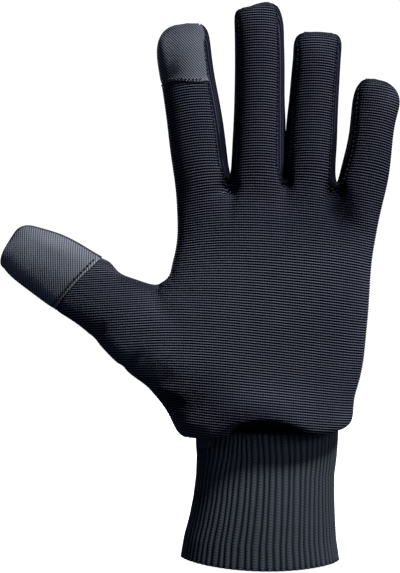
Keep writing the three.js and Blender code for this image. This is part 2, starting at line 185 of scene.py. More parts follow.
skin_mesh = joined_skin()
skin_faces = [tuple(face.vertices) for face in skin_mesh.polygons]
skin_piece = [face.material_index for face in skin_mesh.polygons]
skin_normals = read_corners(skin_mesh, "normal")
skin_points = read_corners(skin_mesh, "co") + skin_normals * FILL_OUT


def smooth_step(place, start, end):
    share = np.clip((place - start) / (end - start), 0, 1)
    return share * share * (3 - 2 * share)


# Small moves of the filled outline: middle x and z, reach across and up, and the move in x and z
OUTLINE_MOVES = (
    (-113.5, 134.5, 6.0, 6.0, -1.3, 0.1),
    (-85.0, 141.0, 22.0, 6.0, 0.0, 0.5),
    (-66.5, 130.8, 4.5, 4.0, 0.3, 1.1),
    (-42.5, 126.5, 4.5, 4.5, 1.0, -0.9),
    (-57.0, 124.5, 8.0, 5.0, 0.0, 0.4),
    (-96.0, 116.0, 8.0, 8.0, -0.2, -0.3),
    (-74.0, 102.0, 10.0, 9.0, 0.3, 0.3),
    (-56.0, 84.0, 9.0, 9.0, -0.3, -0.3),
    (-42.0, 68.0, 8.0, 8.0, 0.35, 0.1),
    (46.0, 150.0, 10.0, 20.0, 0.45, 0.0),
    (41.0, 100.0, 8.0, 35.0, 0.4, 0.0),
    (-39.0, 182.0, 6.0, 18.0, -0.5, 0.0),
    (1.0, 246.0, 8.0, 5.0, 0.0, 0.6),
    (8.5, 243.0, 4.0, 5.0, -0.5, -0.2),
    (-11.5, 241.0, 4.0, 5.0, -0.4, 0.3),
    (14.5, 228.0, 4.0, 5.0, -0.4, 0.3),
    (35.0, 228.0, 4.0, 5.0, 0.3, 0.2),
    (50.0, 211.0, 9.0, 5.0, 0.0, 0.8),
    (58.5, 203.0, 5.0, 7.0, 1.0, 0.5),
    (37.5, 188.0, 4.0, 14.0, 0.5, 0.0),
    (-15.3, 168.0, 3.0, 4.5, 0.0, 3.0),
    (6.4, 247.0, 2.8, 3.5, -0.9, -0.9),
    (-6.0, 245.5, 3.5, 3.0, 0.0, -0.5),
    (-13.0, 200.0, 4.0, 26.0, 0.35, 0.0),
)

# Lines that part one finger from the next: x at the crotch's height and lean per millimetre of height
FINGER_PARTINGS = ((-14.0, -0.05), (10.1, 0.03), (32.8, 0.10))
PARTING_HEIGHT = 164.0

# The middle and the ring finger lie against each other above their crotch
TOUCHING = {"parting": 1, "at_z": 184.0, "reach_z": 16.0, "reach_x": 3.0, "by": 0.55}

# How far the front seams of the side strips sit towards the thumb: strip, finger counted from the index, and
# the distance along the finger and at its tip
STRIP_SEAMS = (
    {"strip": "fourchette_index_middle", "finger": 0, "by": (2.2, 0.7)},
    {"strip": "fourchette_index_middle", "finger": 1, "by": (1.8, 0.0)},
    {"strip": "fourchette_middle_ring", "finger": 1, "by": (1.7, 1.7)},
    {"strip": "fourchette_middle_ring", "finger": 2, "by": (1.4, 0.0)},
    {"strip": "fourchette_ring_little", "finger": 2, "by": (0.8, 0.8)},
)
STRIP_SEAM_REACH = 4.0
STRIP_SEAM_FROM_Z = (160.0, 174.0)
STRIP_TIP_FROM_Z = (204.0, 218.0)
LEAST_SLIDE = 0.03

# How far the patches' stitched edges are slid where they meet the outline: x from and to, move in x and z
PATCH_EDGES = (
    {"patch": "index_patch", "across": (-43.0, -25.0), "by": (0.0, -2.6)},
    {"patch": "thumb_patch", "across": (-80.0, -94.0), "by": (1.5, 0.6)},
)
PATCH_EDGE_REACH = 4.5


def outline_moves(points):
    moves = np.zeros_like(points)
    for *place, by_x, by_z in OUTLINE_MOVES:
        moves += near(points, *place)[:, None] * (by_x, 0, by_z)
    return moves


def touching_moves(points):
    at, lean = FINGER_PARTINGS[TOUCHING["parting"]]
    across = points[:, 0] - at - lean * (points[:, 2] - PARTING_HEIGHT)
    up = (points[:, 2] - TOUCHING["at_z"]) / TOUCHING["reach_z"]
    moves = np.zeros_like(points)
    moves[:, 0] = -np.sign(across) * TOUCHING["by"] * np.exp(-((across / TOUCHING["reach_x"]) ** 2) - up**4)
    return moves


def finger_number(points):
    x, up = points[:, 0], points[:, 2] - PARTING_HEIGHT
    return sum((x > at + lean * up).astype(int) for at, lean in FINGER_PARTINGS)


# How closed up the knit is, with painted shade added: 0 where it is stretched open and looks lighter, 1 on
# the fingers, where the knit is closed up and the darkening is also painted shade, and up to 2 with painted
# shade at the crotches between them
CLOSED_KNIT_AND_PAINTED_SHADE = {"palm": 0.57, "fingers": 1.0, "from_z": (128.0, 152.0), "tight": 2.0}

# Places with painted shade, and painted light where the amount is below 0, here and in later tables: middle x
# and z, reach across and up, and how much
# Painted shade in the crotches between the fingers
CROTCHES = (
    (-15.2, 168.0, 3.0, 5.5, 1.1),
    (9.8, 167.5, 2.2, 4.5, 0.7),
    (33.0, 163.0, 4.8, 9.0, 1.2),
)
# Painted shade on the palm panel, and painted light where the amount is below 0
PALM_PLACES = (
    (-54.0, 123.5, 16.0, 5.0, 0.8),
    (-28.0, 74.0, 15.0, 10.0, 0.8),
    (-40.0, 72.0, 6.0, 4.5, 0.5),
    (35.5, 154.0, 7.0, 9.0, 1.2),
    (-4.0, 64.5, 14.0, 5.5, 1.3),
    (36.0, 63.5, 6.0, 5.0, -0.5),
    (-51.0, 116.0, 7.0, 4.5, 0.35),
    (41.0, 205.5, 4.5, 5.0, 0.9),
    (-54.0, 93.0, 20.0, 9.0, -0.55),
    (-2.0, 88.0, 18.0, 9.0, -0.1),
    (47.0, 112.0, 5.0, 30.0, -0.4),
    (21.0, 229.0, 8.0, 8.0, -0.35),
    (-5.0, 243.0, 6.0, 5.0, -0.25),
    (45.0, 210.0, 6.0, 3.5, -0.35),
    (56.5, 203.0, 4.0, 8.0, -0.4),
)


def near(points, x, z, reach_across, reach_up):
    """1 at a place in the front view, falling to 0 away from it."""
    across = (points[:, 0] - x) / reach_across
    up = (points[:, 2] - z) / reach_up
    return np.exp(-(across**2) - up**2)


def sum_near(points, places):
    return sum(amount * near(points, *place) for *place, amount in places)


# Painted shade on the knit, from the fingers' closed knit, the crotches and the given places
def closed_knit_and_painted_shade(points, places):
    on_fingers = smooth_step(points[:, 2], *CLOSED_KNIT_AND_PAINTED_SHADE["from_z"])
    share = CLOSED_KNIT_AND_PAINTED_SHADE["palm"] + (CLOSED_KNIT_AND_PAINTED_SHADE["fingers"] - CLOSED_KNIT_AND_PAINTED_SHADE["palm"]) * on_fingers
    return np.clip(share + sum_near(points, CROTCHES + places), 0, CLOSED_KNIT_AND_PAINTED_SHADE["tight"])


# Seams of the shell: where two pieces meet, the fabric's edges roll inwards and make a shallow groove
SEAM_GROOVE = {"depth": 0.55, "width": 1.3}


def seam_edges():
    """The skin's seams: for each pair of sewn pieces, the edges between their faces."""
    owner, seams = {}, {}
    for face, piece in zip(skin_faces, skin_piece):
        for edge in zip(face, face[1:] + face[:1]):
            first = owner.setdefault(frozenset(edge), piece)
            if first != piece:
                pair = frozenset((SHELL_NODES[first], SHELL_NODES[piece]))
                seams.setdefault(pair, []).append(edge)
    return seams


def corners_of(edges):
    return sorted({corner for edge in edges for corner in edge})


def distance_to(places, points):
    tree = tree_of(places)
    return np.array([tree.find(point)[2] for point in points])


def fresh_normals(points):
    mesh = bpy.data.meshes.new("skin_shape")
    mesh.from_pydata(points.tolist(), [], skin_faces)
    normals = read_corners(mesh, "normal")
    bpy.data.meshes.remove(mesh)
    return normals


def slide_seams(points, seams):
    """Moves the front seams of the side strips and the patches' edges along the surface."""
    moved = points.copy()
    finger = finger_number(points)
    surfaces = []
    for number in range(len(FINGER_PARTINGS) + 1):
        faces = [face for face in skin_faces if all(finger[list(face)] == number)]
        surfaces.append(BVHTree.FromPolygons(points.tolist(), faces))

    def slide(line, reach, by, hold):
        hold = hold * np.exp(-((distance_to(points[line], points) / reach) ** 2))
        for corner in np.flatnonzero(hold > LEAST_SLIDE):
            step = np.array((by[0], 0, by[1])) * hold[corner]
            moved[corner] = surfaces[finger[corner]].find_nearest(moved[corner] + step)[0]

    up = smooth_step(points[:, 2], *STRIP_SEAM_FROM_Z)
    at_tip = smooth_step(points[:, 2], *STRIP_TIP_FROM_Z)
    for row in STRIP_SEAMS:
        own = finger == row["finger"]
        pairs = [frozenset((row["strip"], front)) for front in ("palm_panel", "index_patch")]
        line = corners_of(edge for pair in pairs for edge in seams.get(pair, ()))
        line = [corner for corner in line if own[corner]]
        along, tip = row["by"]
        slide(line, STRIP_SEAM_REACH, (-1, 0), (along + (tip - along) * at_tip) * up * own)
    for row in PATCH_EDGES:
        line = corners_of(seams[frozenset((row["patch"], "palm_panel"))])
        slide(line, PATCH_EDGE_REACH, row["by"], smooth_step(points[:, 0], *row["across"]))
    return moved


skin_points += outline_moves(skin_points) + touching_moves(skin_points)
seams = seam_edges()
skin_points = slide_seams(skin_points, seams)
skin_normals = fresh_normals(skin_points)
all_seams = corners_of(edge for edges in seams.values() for edge in edges)
seam_distance = distance_to(skin_points[all_seams], skin_points)
groove = SEAM_GROOVE["depth"] * np.exp(-((seam_distance / SEAM_GROOVE["width"]) ** 2))
skin_points -= skin_normals * groove[:, None]

# Folds and dents of the shell's front: middle x and z, half length and half width, turn in degrees
# anticlockwise from +x, and height outwards
FOLDS = (
    (-18.8, 163.0, 4.5, 1.8, 35, -1.6),
    (-14.6, 165.0, 4.0, 3.2, 90, -4.0),
    (-14.0, 157.0, 7.0, 2.2, 80, -1.1),
    (10.4, 167.5, 4.5, 2.2, 90, -2.8),
    (9.6, 160.0, 8.0, 2.0, 92, -0.6),
    (31.2, 164.0, 5.0, 3.2, 88, -4.0),
    (31.0, 156.5, 8.5, 3.8, 97, -3.2),
    (37.0, 150.0, 8.0, 3.0, -40, -0.9),
    (-46.0, 116.0, 14.0, 4.0, -55, -0.9),
    (-71.0, 101.5, 3.5, 1.8, 60, -1.3),
    (-58.0, 88.5, 4.5, 2.0, 40, -1.6),
    (-41.0, 72.0, 5.5, 2.6, -15, -2.0),
    (-27.0, 63.0, 10.0, 4.0, 20, 1.6),
    (36.0, 64.0, 7.0, 3.5, 80, 1.2),
    (0.0, 71.5, 18.0, 6.0, 0, 1.2),
    (-42.0, 78.0, 14.0, 8.0, -50, -1.0),
    (-61.5, 90.5, 20.0, 5.5, -42, 2.5),
    (-88.0, 112.0, 20.0, 4.5, -37, 1.3),
    (0.0, 110.0, 24.0, 30.0, 90, -0.8),
    (-43.0, 223.0, 10.0, 2.6, 93, 0.9),
    (-110.5, 136.5, 10.0, 3.2, 41, 0.8),
    (-89.0, 138.0, 14.0, 3.2, -27, 0.7),
)

# A fold fades out where the cloth turns away from the front
FACING = (0.0, 0.5)


def fold_heights(points, normals):
    heights = np.zeros(len(points))
    facing = smooth_step(-normals[:, 1], *FACING)
    for middle_x, middle_z, long, wide, degrees, height in FOLDS:
        turn = math.radians(degrees)
        x, z = points[:, 0] - middle_x, points[:, 2] - middle_z
        along = x * math.cos(turn) + z * math.sin(turn)
        across = z * math.cos(turn) - x * math.sin(turn)
        heights += height * facing * np.exp(-((along / long) ** 2) - (across / wide) ** 2)
    return heights


skin_points += skin_normals * fold_heights(skin_points, skin_normals)[:, None]

# The shell's lower edge is gathered on to the cuff. In front it hangs as a slack bulge at the thumb's side
# and is drawn up from the tacked point on, where it stands off the cuff over a dark hollow.
# Across the front: x, height of the edge, how far it stands off and how far its lip turns in
HEM_FRONT = (
    (-37.0, 57.5, 0.0, 4.5),
    (-33.5, 55.0, 0.6, 4.5),
    (-29.0, 53.8, 1.4, 4.0),
    (-20.0, 54.0, 1.8, 3.2),
    (-15.0, 55.6, 1.6, 2.8),
    (-12.0, 59.0, 2.0, 3.0),
    (-9.0, 61.0, 2.6, 3.2),
    (-3.0, 62.1, 3.0, 3.2),
    (4.0, 61.8, 3.2, 3.2),
    (9.0, 60.9, 3.0, 3.0),
    (14.0, 59.0, 2.8, 2.8),
    (19.0, 57.0, 2.4, 2.4),
    (24.0, 56.0, 2.0, 2.0),
    (29.0, 56.2, 1.6, 1.8),
    (34.0, 58.4, 1.0, 1.6),
    (37.0, 60.2, 0.4, 1.8),
)
HEM_FRONT_FROM = (-8.0, 8.0)
HEM_TURN_BEHIND = 3.0
HEM_LIP = 6.5
HEM_REACH = 8.0
HEM_ZONE = 24.0
HEM_EVEN = 6.0


def hem_corners():
    """The corners of the skin on its open lower edge."""
    sides = {}
    for face in skin_faces:
        for start, end in zip(face, face[1:] + face[:1]):
            sides[frozenset((start, end))] = sides.get(frozenset((start, end)), 0) + 1
    return sorted({corner for edge, count in sides.items() if count == 1 for corner in edge})


def shape_hem(points, normals):
    hem = hem_corners()
    tree = tree_of(points[hem])
    close = np.linalg.norm(points[hem][:, None] - points[hem][None], axis=2) < HEM_EVEN
    inwards = -(close @ normals[hem]) / close.sum(1)[:, None]
    across, heights, offs, turns = np.array(HEM_FRONT).T
    moves = np.zeros_like(points)
    for corner in np.flatnonzero(points[:, 2] < points[hem, 2].max() + HEM_ZONE):
        _, index, distance = tree.find(points[corner])
        place = points[hem[index]]
        front = smooth_step(-place[1], *HEM_FRONT_FROM)
        hold = math.exp(-((distance / HEM_REACH) ** 2)) * front
        rise = hold * (np.interp(place[0], across, heights) - place[2])
        turn = HEM_TURN_BEHIND + (np.interp(place[0], across, turns) - HEM_TURN_BEHIND) * front
        turned = turn * max(0, 1 - distance / HEM_LIP) ** 2
        moves[corner] = turned * inwards[index] + (0, -hold * np.interp(place[0], across, offs), rise)
    return points + moves


skin_points = shape_hem(skin_points, skin_normals)
skin_normals = fresh_normals(skin_points)

# The cross-ribbed knit of the palm and the back
#
# The fabric is a black rib knit whose fine ribs run across the hand, level at the thumb's side and falling
# towards the little finger. On each finger they turn square to the finger and bow up a little towards its
# tip. Each rib is a real ridge: the skin is cut along the ribs' own lines and the cuts are raised.

RIB_PITCH = 1.12
RIB_HEIGHT = 0.34
RIB_PROFILE = (0.0, 0.72, 1.0, 0.72)
BACK_PROFILE = (0.0, 0.92, 0.92)
FINGER_TURN = (163.0, 178.0)
WALE_PITCH = 1.0
FINGER_HALF_WIDTH = 11.0
LEVEL_CLOTH = (0.45, 0.9)
HALF_DEPTH = 8.5
RIB_BOW = 0.9
KNIT_WALL = 1.1
SEAM_GAP = 0.12

# Keeps the cuts clear of the skin's own corners, in cuts
CUT_OFFSET = 0.0001

# Slope of the ribs on the palm in degrees, downwards to the right: the height, then the slope at each x
RIB_SLOPES_AT = (-50.0, -30.0, -12.0, 8.0, 26.0, 42.0)
RIB_SLOPES = (
    (60.0, 6.0, 6.0, 4.0, 6.0, 7.0, 6.0),
    (90.0, -3.0, 3.0, 6.0, 7.0, 8.0, 6.0),
    (112.0, -4.0, 3.0, 5.0, 6.0, 7.0, 8.0),
    (135.0, -4.0, -6.0, 1.0, 5.0, 6.0, 11.0),
    (156.0, -4.0, -10.0, -1.0, 5.0, 8.0, 11.0),
)
RIBS_COUNTED_AT = -12.0


def palm_ribs(x, z):
    """Height at which the rib through a place on the palm crosses the middle of the hand."""
    across = np.arange(math.floor(skin_points[:, 0].min()), math.ceil(skin_points[:, 0].max()) + 1)
    falls = []
    for _, *slopes in RIB_SLOPES:
        fall = np.cumsum(np.tan(np.radians(np.interp(across, RIB_SLOPES_AT, slopes))))
        falls.append(np.interp(x, across, fall) - np.interp(RIBS_COUNTED_AT, across, fall))
    heights = [row[0] for row in RIB_SLOPES]
    place = np.interp(z, heights, range(len(heights)))
    shares = [np.maximum(0, 1 - np.abs(place - number)) for number in range(len(heights))]
    return z + sum(share * fall for share, fall in zip(shares, falls))


def finger_ribs(name, x, z):
    """The same for a finger, whose ribs are square to its middle line and bowed towards its tip; and the
    place across the finger."""
    root, tip = np.array(BONES[name][0]), np.array(BONES[name][-1])
    along = (tip - root) / np.linalg.norm(tip - root)
    forward = (x - root[0]) * along[0] + (z - root[1]) * along[1]
    sideways = (x - root[0]) * along[1] - (z - root[1]) * along[0]
    bow = RIB_BOW * (1 - (sideways / FINGER_HALF_WIDTH) ** 2)
    return palm_ribs(*root) + forward - bow, root[0] + sideways


def ribs_over_edges(points, normals):
    """What the rib lines gain where the cloth lies over a tip or along the top or underside of the thumb:
    there they go on from front to back instead of up."""
    level = smooth_step(np.abs(normals[:, 2]), *LEVEL_CLOTH)
    return np.sign(normals[:, 2]) * level * np.maximum(0, HALF_DEPTH - np.abs(points[:, 1]))


def knit_lines(points, normals):
    """Rib count at each corner of the skin, whole at the bottom between two ribs, and the same for the
    columns of stitches across the ribs."""
    x, z = points[:, 0], points[:, 2]
    lines, wales = palm_ribs(x, z), x.copy()
    finger = finger_number(points)
    turned = smooth_step(z, *FINGER_TURN)
    for number, name in enumerate(("index", "middle", "ring", "little")):
        own = (finger == number) & (turned > 0)
        ribs, across = finger_ribs(name, x[own], z[own])
        lines[own] += turned[own] * (ribs - lines[own])
        wales[own] += turned[own] * (across - wales[own])
    return (lines + ribs_over_edges(points, normals)) / RIB_PITCH, wales / WALE_PITCH


def ridge_height(cuts, profile):
    """Height of a ridge at a place counted in cuts, from 0 between two ridges to 1 on a crest."""
    below = np.floor(cuts).astype(int)
    share = cuts - below
    heights = np.array(profile)
    return heights[below % len(profile)] * (1 - share) + heights[(below + 1) % len(profile)] * share


def cut_faces(faces, cuts):
    """Faces cut wherever the cut count passes a whole number.

    Returns the new faces, the new corners as (start, end, share of the way), and each old edge's corners."""
    added, on_edge = [], {}

    def edge_corners(start, end):
        key = (start, end) if start < end else (end, start)
        if key not in on_edge:
            first, last = cuts[key[0]], cuts[key[1]]
            inside = range(math.floor(min(first, last)) + 1, math.ceil(max(first, last)))
            found = []
            for cut in inside:
                found.append((cut, len(cuts) + len(added)))
                added.append((key[0], key[1], (cut - first) / (last - first)))
            on_edge[key] = found if first < last else found[::-1]
        return on_edge[key] if key == (start, end) else on_edge[key][::-1]

    pieces = []
    for face in faces:
        loop = []
        for start, end in zip(face, face[1:] + face[:1]):
            loop.append((cuts[start], start))
            loop.extend(edge_corners(start, end))
        levels = [level for level, _ in loop]
        for band in range(math.floor(min(levels)), math.ceil(max(levels))):
            piece = [corner for level, corner in loop if band <= level <= band + 1]
            if len(piece) > 2:
                pieces.append(piece)
    return pieces, added, on_edge


def add_cloth(name, points, faces, marks):
    """A piece of cloth from corners in millimetres, with a number on each corner for every mark."""
    mesh = bpy.data.meshes.new(name)
    mesh.from_pydata((points * MM).tolist(), [], faces)
    mesh.polygons.foreach_set("use_smooth", [True] * len(mesh.polygons))
    for mark, values in marks.items():
        mesh.attributes.new(mark, "FLOAT", "POINT").data.foreach_set("value", values)
    mesh.update()
    return add_object(name, mesh)


def ribbed_piece(name, cuts, profile, height, wall, marks, lift=None):
    """One walled piece of the shell with its ridges raised, as a mesh object.

    cuts is the cut count at each corner of the skin, height how far a crest stands up, lift a further height
    at each corner, marks the other attributes. The attribute ridge is 0 between ridges and 1 on a crest."""
    number = SHELL_NODES.index(name)
    own = [face for face, piece in zip(skin_faces, skin_piece) if piece == number]
    used = sorted({corner for face in own for corner in face})
    place = {corner: index for index, corner in enumerate(used)}
    faces = [tuple(place[corner] for corner in face) for face in own]
    points, normals = skin_points[used], skin_normals[used]
    own_cuts = cuts[used] + CUT_OFFSET
    extra = np.zeros(len(used)) if lift is None else lift[used]

    # Corners on the piece's border move away from the seam by half of its gap
    edges = {}
    for face in faces:
        for start, end in zip(face, face[1:] + face[:1]):
            edges[start, end] = face
    border = [(start, end) for start, end in edges if (end, start) not in edges]
    inward = np.zeros_like(points)
    for start, end in border:
        centre = points[list(edges[start, end])].mean(0)
        for corner in (start, end):
            inward[corner] += centre - points[corner]
    moved = np.linalg.norm(inward, axis=1) > 0
    inward[moved] /= np.linalg.norm(inward[moved], axis=1)[:, None]
    points = points + inward * SEAM_GAP / 2

    bands, added, on_edge = cut_faces(faces, own_cuts)
    starts = np.array([start for start, _, _ in added], int)
    ends = np.array([end for _, end, _ in added], int)
    shares = np.array([share for _, _, share in added])

    def on_all(values):
        step = values[ends] - values[starts]
        between = values[starts] + step * (shares if values.ndim == 1 else shares[:, None])
        return np.concatenate((values, between))

    ridge = ridge_height(on_all(own_cuts), profile)
    relief = on_all(extra) + height * (ridge - 1)
    outer = on_all(points) + on_all(normals) * relief[:, None]
    inner = points - normals * wall
    first_inner = len(outer)
    lining = [[first_inner + corner for corner in face[::-1]] for face in faces]
    rims = []
    for start, end in border:
        key = (start, end) if start < end else (end, start)
        between = [corner for _, corner in on_edge.get(key, ())]
        if key != (start, end):
            between.reverse()
        rims.append([first_inner + start, first_inner + end, end] + between[::-1] + [start])
    own_marks = {mark: np.concatenate((on_all(values[used]), values[used])) for mark, values in marks.items()}
    own_marks["ridge"] = np.concatenate((ridge, np.zeros(len(inner))))
    return add_cloth(name + "_cloth", np.concatenate((outer, inner)), bands + lining + rims, own_marks)


class Nodes:
    """A node tree with a short way to add nodes and join them."""

    def __init__(self, tree):
        self.tree = tree

    def node(self, kind, inputs=(), **settings):
        """Adds a node; inputs are (socket, value or other node's output)."""
        made = self.tree.nodes.new(kind)
        for setting, value in settings.items():
            setattr(made, setting, value)
        for socket, value in inputs:
            if isinstance(value, bpy.types.NodeSocket):
                self.tree.links.new(value, made.inputs[socket])
            else:
                made.inputs[socket].default_value = value
        return made


class Finish(Nodes):
    """A fabric's material."""

    def __init__(self, name, roughness, specular):
        self.material = bpy.data.materials.new(name)
        self.material.use_nodes = True
        super().__init__(self.material.node_tree)
        self.shader = self.tree.nodes["Principled BSDF"]
        self.shader.inputs["Roughness"].default_value = roughness
        self.shader.inputs["Specular IOR Level"].default_value = specular

    def attribute(self, name):
        return self.node("ShaderNodeAttribute", attribute_name=name).outputs["Fac"]

    def blend(self, share, low, high):
        """Colour that goes from low to high as share goes from 0 to 1."""
        mix = self.node("ShaderNodeMix", data_type="RGBA")
        self.tree.links.new(share, mix.inputs["Factor"])
        for socket, colour in (("A", low), ("B", high)):
            target = next(s for s in mix.inputs if s.name == socket and s.type == "RGBA")
            if isinstance(colour, bpy.types.NodeSocket):
                self.tree.links.new(colour, target)
            else:
                target.default_value = (*colour, 1)
        return next(s for s in mix.outputs if s.type == "RGBA")

    def colour(self, output):
        self.tree.links.new(output, self.shader.inputs["Base Color"])

    def number(self, operation, *values):
        return self.node("ShaderNodeMath", enumerate(values), operation=operation).outputs["Value"]

    def spread(self, value, low, high, to_low, to_high, **settings):
        """A value between low and high, spread evenly from to_low to to_high."""
        ends = [("From Min", low), ("From Max", high), ("To Min", to_low), ("To Max", to_high)]
        return self.node("ShaderNodeMapRange", [("Value", value), *ends], **settings).outputs["Result"]

    def bump(self, height, distance):
        made = self.node("ShaderNodeBump", [("Height", height), ("Distance", distance)])
        self.tree.links.new(made.outputs["Normal"], self.shader.inputs["Normal"])


# Yarn of the shell: colours of the gaps and of the crests. The near-black gap colour, shown low on each rib
# and between two loops, is painted shade. Each crest is a row of small loops, one to a wale, and on the
# fingers the knit is closed up and looks darker, which is also painted shade there.
SHELL_GAP = (0.0010, 0.0012, 0.0050)
SHELL_CREST = (0.080, 0.085, 0.118)
SHELL_CREST_WORN = (0.140, 0.147, 0.185)
WALE_SWAY = 0.5
FIBRE_GRAIN = {"Scale": 1400.0, "Detail": 2.0}
WEAR_PATCHES = {"Scale": 45.0, "Detail": 3.0}
LOOP_BUMP = 0.00018


def knit_finish(name, gap, crest, worn, bare, loop_depth, edge=None):
    """bare is the ridge height up to which the gap's colour shows as painted shade, first where the attribute
    of closed knit and painted shade is 0 and then where it is 1; loop_depth is how dark the painted shade
    between two loops of yarn is, in the same way."""
    knit = Finish(name, roughness=0.85, specular=0.04)
    ridge, wale, closed_knit_and_painted_shade = (knit.attribute(mark) for mark in ("ridge", "wale", "closed_knit_and_painted_shade"))
    place = knit.node("ShaderNodeTexCoord").outputs["Object"]
    wear = knit.node("ShaderNodeTexNoise", [("Vector", place), *WEAR_PATCHES.items()])
    grain = knit.node("ShaderNodeTexNoise", [("Vector", place), *FIBRE_GRAIN.items()])
    sway = knit.number("MULTIPLY_ADD", grain.outputs["Fac"], WALE_SWAY, wale)
    wave = knit.number("SINE", knit.number("MULTIPLY", sway, math.tau))
    # Painted shade between two loops of yarn, deeper where the knit is closed up and shaded
    between = knit.spread(closed_knit_and_painted_shade, 0.0, 1.0, 1.0 - loop_depth[0], 1.0 - loop_depth[1])
    loops = knit.spread(wave, -1.0, 1.0, between, 1.0)
    crown = knit.blend(wear.outputs["Fac"], crest, worn)
    if edge:
        crown = knit.blend(knit.attribute("lighter_turned_edge"), crown, edge)
    yarn = knit.blend(loops, gap, crown)
    # Painted shade on the low part of each ridge, up to the height bare
    shows_from = knit.spread(closed_knit_and_painted_shade, 0.0, 1.0, *bare, clamp=False)
    steep = knit.spread(ridge, shows_from, 1.0, 0.0, 1.0, interpolation_type="SMOOTHSTEP")
    knit.colour(knit.blend(steep, gap, yarn))
    knit.bump(knit.number("MULTIPLY", loops, steep), LOOP_BUMP)
    return knit.material


shell_knit = knit_finish(
    "shell_knit", SHELL_GAP, SHELL_CREST, SHELL_CREST_WORN, bare=(0.50, 0.71), loop_depth=(0.25, 0.7)
)
rib_lines, wale_lines = knit_lines(skin_points, skin_normals)
for node, places, profile in (("palm_panel", PALM_PLACES, RIB_PROFILE), ("back_panel", (), BACK_PROFILE)):
    marks = {"wale": wale_lines, "closed_knit_and_painted_shade": closed_knit_and_painted_shade(skin_points, places)}
    panel = ribbed_piece(node, rib_lines * len(profile), profile, RIB_HEIGHT, KNIT_WALL, marks)
    panel.data.materials.append(shell_knit)
    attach(panel, "root")
    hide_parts(node)

# The side strips between the fingers
#
# Each is one narrow strip of the same yarn, up the side of one finger, round the crotch and up the next,
# with its ribs along its length. It is sewn between the palm and the back.

# Colours of the strips: the same yarn as the shell, with darker crests, which is painted shade between the
# fingers; the near-black gap colour is painted shade as on the shell
STRIP_GAP = (0.0014, 0.0016, 0.0046)
STRIP_CREST = (0.030, 0.035, 0.056)
STRIP_CREST_WORN = (0.044, 0.050, 0.074)
# Painted shade on the strips, darker towards the back of the hand
STRIP_SHADE = {"from_y": (-9.0, -3.5), "by": 0.85}
# Painted shade on the strips near the crotches, at the index and ring fingers' right sides
STRIP_PLACES = (
    (31.0, 177.0, 4.0, 9.0, 1.0),
    (-18.5, 181.0, 3.0, 9.0, 0.8),
)
STRIP_RIB_PITCH = 1.05
STRIP_RIB_HEIGHT = 0.2

strip_knit = knit_finish(
    "strip_knit", STRIP_GAP, STRIP_CREST, STRIP_CREST_WORN, bare=(0.3, 0.95), loop_depth=(0.65, 0.65)
)
strip_cuts = skin_points[:, 1] / STRIP_RIB_PITCH * len(RIB_PROFILE)
strip_shade = STRIP_SHADE["by"] * smooth_step(skin_points[:, 1], *STRIP_SHADE["from_y"])
strip_shade += sum_near(skin_points, CROTCHES + STRIP_PLACES)
for node in STRIP_NODES:
    marks = {"wale": skin_points[:, 2] / WALE_PITCH, "closed_knit_and_painted_shade": np.minimum(1, strip_shade)}
    strip = ribbed_piece(node, strip_cuts, RIB_PROFILE, STRIP_RIB_HEIGHT, KNIT_WALL, marks)
    strip.data.materials.append(strip_knit)
    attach(strip, "root")
    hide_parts(node)

# The touch patches
#
# A fine woven twill of grey conductive yarn covers the pads of the index finger and the thumb. Each patch
# has its lower edge turned under and stitched down with black thread, and its sides are in the seams.

PATCH_WALL = 0.9
# In each patch's row, the last number is painted shade, darker on the index finger's patch than on the
# thumb's
PATCHES = (
    {"node": "index_patch", "across": (0.72, 0.69), "pitch": 0.85, "height": 0.07, "closed_knit_and_painted_shade": 0.5},
    {"node": "thumb_patch", "across": (1.0, 0.02), "pitch": 0.95, "height": 0.09, "closed_knit_and_painted_shade": 0.15},
)
# Painted shade on the patches, and painted light where the amount is below 0
PATCH_PLACES = (
    (-38.5, 215.5, 4.5, 6.0, 1.4),
    (-33.0, 235.0, 10.0, 5.0, 1.0),
    (-44.5, 234.0, 4.5, 4.0, 1.6),
    (-44.5, 225.0, 3.0, 9.0, -0.5),
    (-110.0, 133.0, 9.0, 8.0, -1.5),
    (-90.0, 141.0, 11.0, 3.5, -0.6),
    (-101.0, 122.0, 6.0, 4.0, 0.6),
)
TURNED_EDGE = {"height": 0.75, "width": 0.8}
# Colours of the twill: its gap colour, shown low on each fine ridge and between two loops, is painted shade
TWILL_GAP = (0.022, 0.024, 0.032)
TWILL_CREST = (0.108, 0.118, 0.142)
TWILL_CREST_WORN = (0.150, 0.160, 0.188)
# Colour along each patch's turned edge, lighter than the crests
TWILL_EDGE = (0.20, 0.21, 0.24)

touch_twill = knit_finish(
    "touch_twill", TWILL_GAP, TWILL_CREST, TWILL_CREST_WORN,
    bare=(0.0, 0.5), loop_depth=(0.3, 0.5), edge=TWILL_EDGE,
)
for patch in PATCHES:
    along, up = patch["across"]
    lines = (skin_points[:, 0] * along + skin_points[:, 2] * up) / patch["pitch"] * len(RIB_PROFILE)
    hem = corners_of(seams[frozenset((patch["node"], "palm_panel"))])
    hem_distance = distance_to(skin_points[hem], skin_points)
    turned_edge = np.exp(-((hem_distance / TURNED_EDGE["width"]) ** 2))
    lift = TURNED_EDGE["height"] * turned_edge * smooth_step(-skin_normals[:, 1], *FACING)
    marks = {
        "wale": (skin_points[:, 2] * along - skin_points[:, 0] * up) / patch["pitch"],
        "closed_knit_and_painted_shade": patch["closed_knit_and_painted_shade"] + sum_near(skin_points, PATCH_PLACES),
        "lighter_turned_edge": turned_edge,
    }
    piece = ribbed_piece(patch["node"], lines, RIB_PROFILE, patch["height"], PATCH_WALL, marks, lift)
    piece.data.materials.append(touch_twill)
    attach(piece, "root")
    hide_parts(patch["node"])

